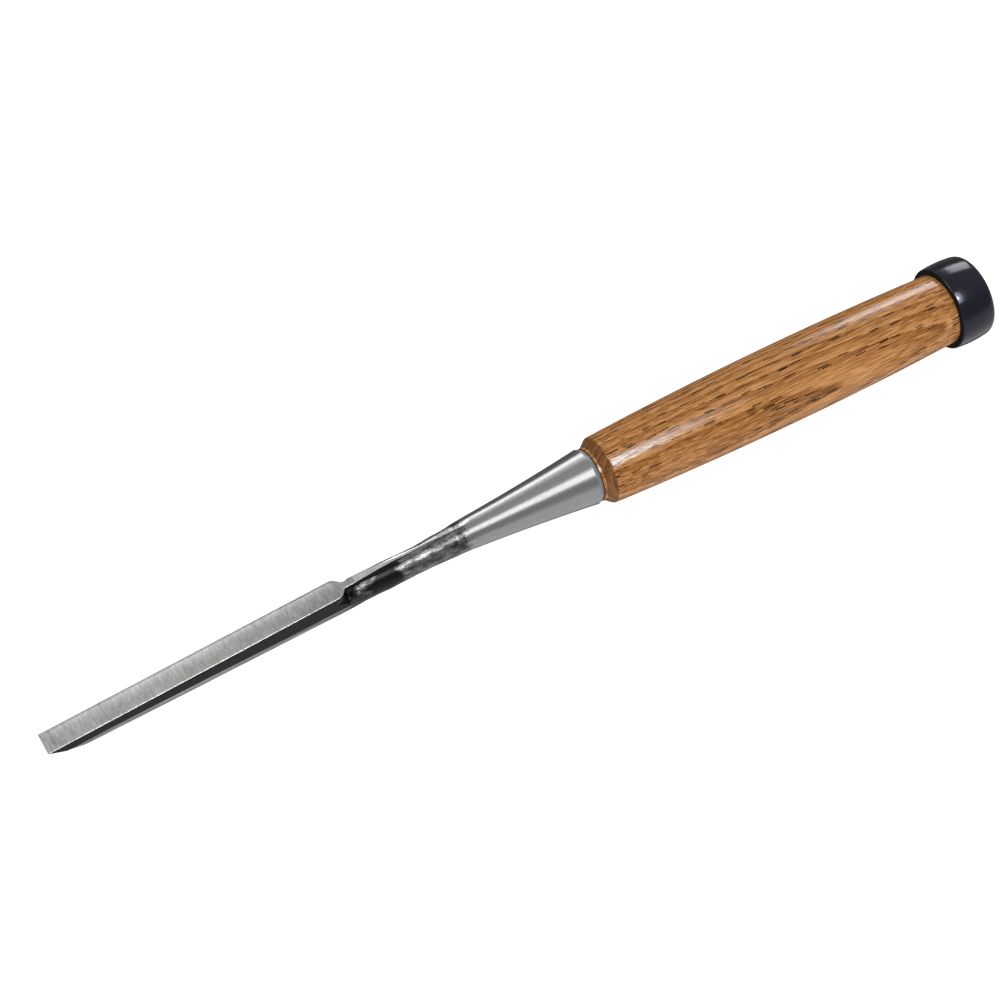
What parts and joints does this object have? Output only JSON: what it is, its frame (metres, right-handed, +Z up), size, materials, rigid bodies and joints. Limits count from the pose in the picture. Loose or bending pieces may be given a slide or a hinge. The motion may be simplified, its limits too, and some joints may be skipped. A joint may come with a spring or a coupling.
{
  "type": "wood chisel",
  "caption": "Struck timber chisel with a laminated bevel-edged blade, hollow-ground flat back, steel cone ferrule, turned oak handle and a hooped striking end.",
  "frame": {"origin": "middle of the chisel's box on the surface it lies on; it lies with the flat back up, on the heel of the bevel and on the hoop", "axes": "+X from the cutting edge to the struck end, +Z up, so the flat back faces up and the bevel faces down"},
  "size_m": [0.3792, 0.0326, 0.0327],
  "materials": {
    "forged_iron": "black forge scale with a low gloss",
    "ground_steel": "satin, ground across the blade",
    "brushed_steel": "brushed along the cone",
    "oak": "oak under clear gloss lacquer",
    "black_steel": "glossy blue-black"
  },
  "bodies": {
    "root": {"blade": "forged_iron", "edge_steel": "ground_steel", "ferrule": "brushed_steel", "handle": "oak", "hoop": "black_steel"}
  },
  "joints": []
}
